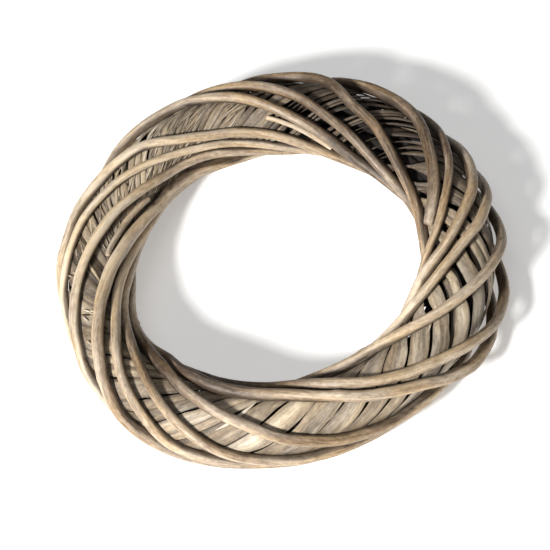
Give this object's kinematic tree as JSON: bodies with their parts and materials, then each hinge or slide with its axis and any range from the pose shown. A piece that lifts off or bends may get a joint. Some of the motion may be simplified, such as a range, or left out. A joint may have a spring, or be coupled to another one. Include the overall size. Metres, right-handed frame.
{
  "type": "wreath frame",
  "caption": "Round willow wreath base: whole rods spiral over a wound layer of split strips on a core bundle, to carry flowers and foliage.",
  "frame": {"origin": "centre of the bounding box in plan, at the lowest point of the ring lying flat", "axes": "+Z is the ring's axis, up when it lies flat; +Y points to the far side of the ring and +X to its right"},
  "size_m": [0.3012, 0.2996, 0.0611],
  "materials": {
    "willow_rod": "smooth peeled willow, tan to pinkish beige, low sheen",
    "willow_strip": "split willow with straight grain, grey brown, matt",
    "willow_core": "dark weathered willow, matt"
  },
  "bodies": {
    "root": {"rod_long_1": "willow_rod", "rod_long_2": "willow_rod", "rod_long_3": "willow_rod", "rod_long_4": "willow_rod", "rod_long_5": "willow_rod", "rod_long_6": "willow_rod", "rod_long_7": "willow_rod", "rod_short_1": "willow_rod", "rod_short_2": "willow_rod", "rod_short_3": "willow_rod", "side_shoot_1": "willow_rod", "side_shoot_2": "willow_rod", "strip_01": "willow_strip", "strip_02": "willow_strip", "strip_03": "willow_strip", "strip_04": "willow_strip", "strip_05": "willow_strip", "strip_06": "willow_strip", "strip_07": "willow_strip", "strip_08": "willow_strip", "strip_09": "willow_strip", "strip_10": "willow_strip", "strip_11": "willow_strip", "strip_12": "willow_strip", "strip_13": "willow_strip", "strip_14": "willow_strip", "strip_15": "willow_strip", "strip_16": "willow_strip", "strip_17": "willow_strip", "core_rod_1": "willow_core", "core_rod_2": "willow_core", "core_rod_3": "willow_core", "core_rod_4": "willow_core", "core_rod_5": "willow_core"}
  },
  "joints": []
}
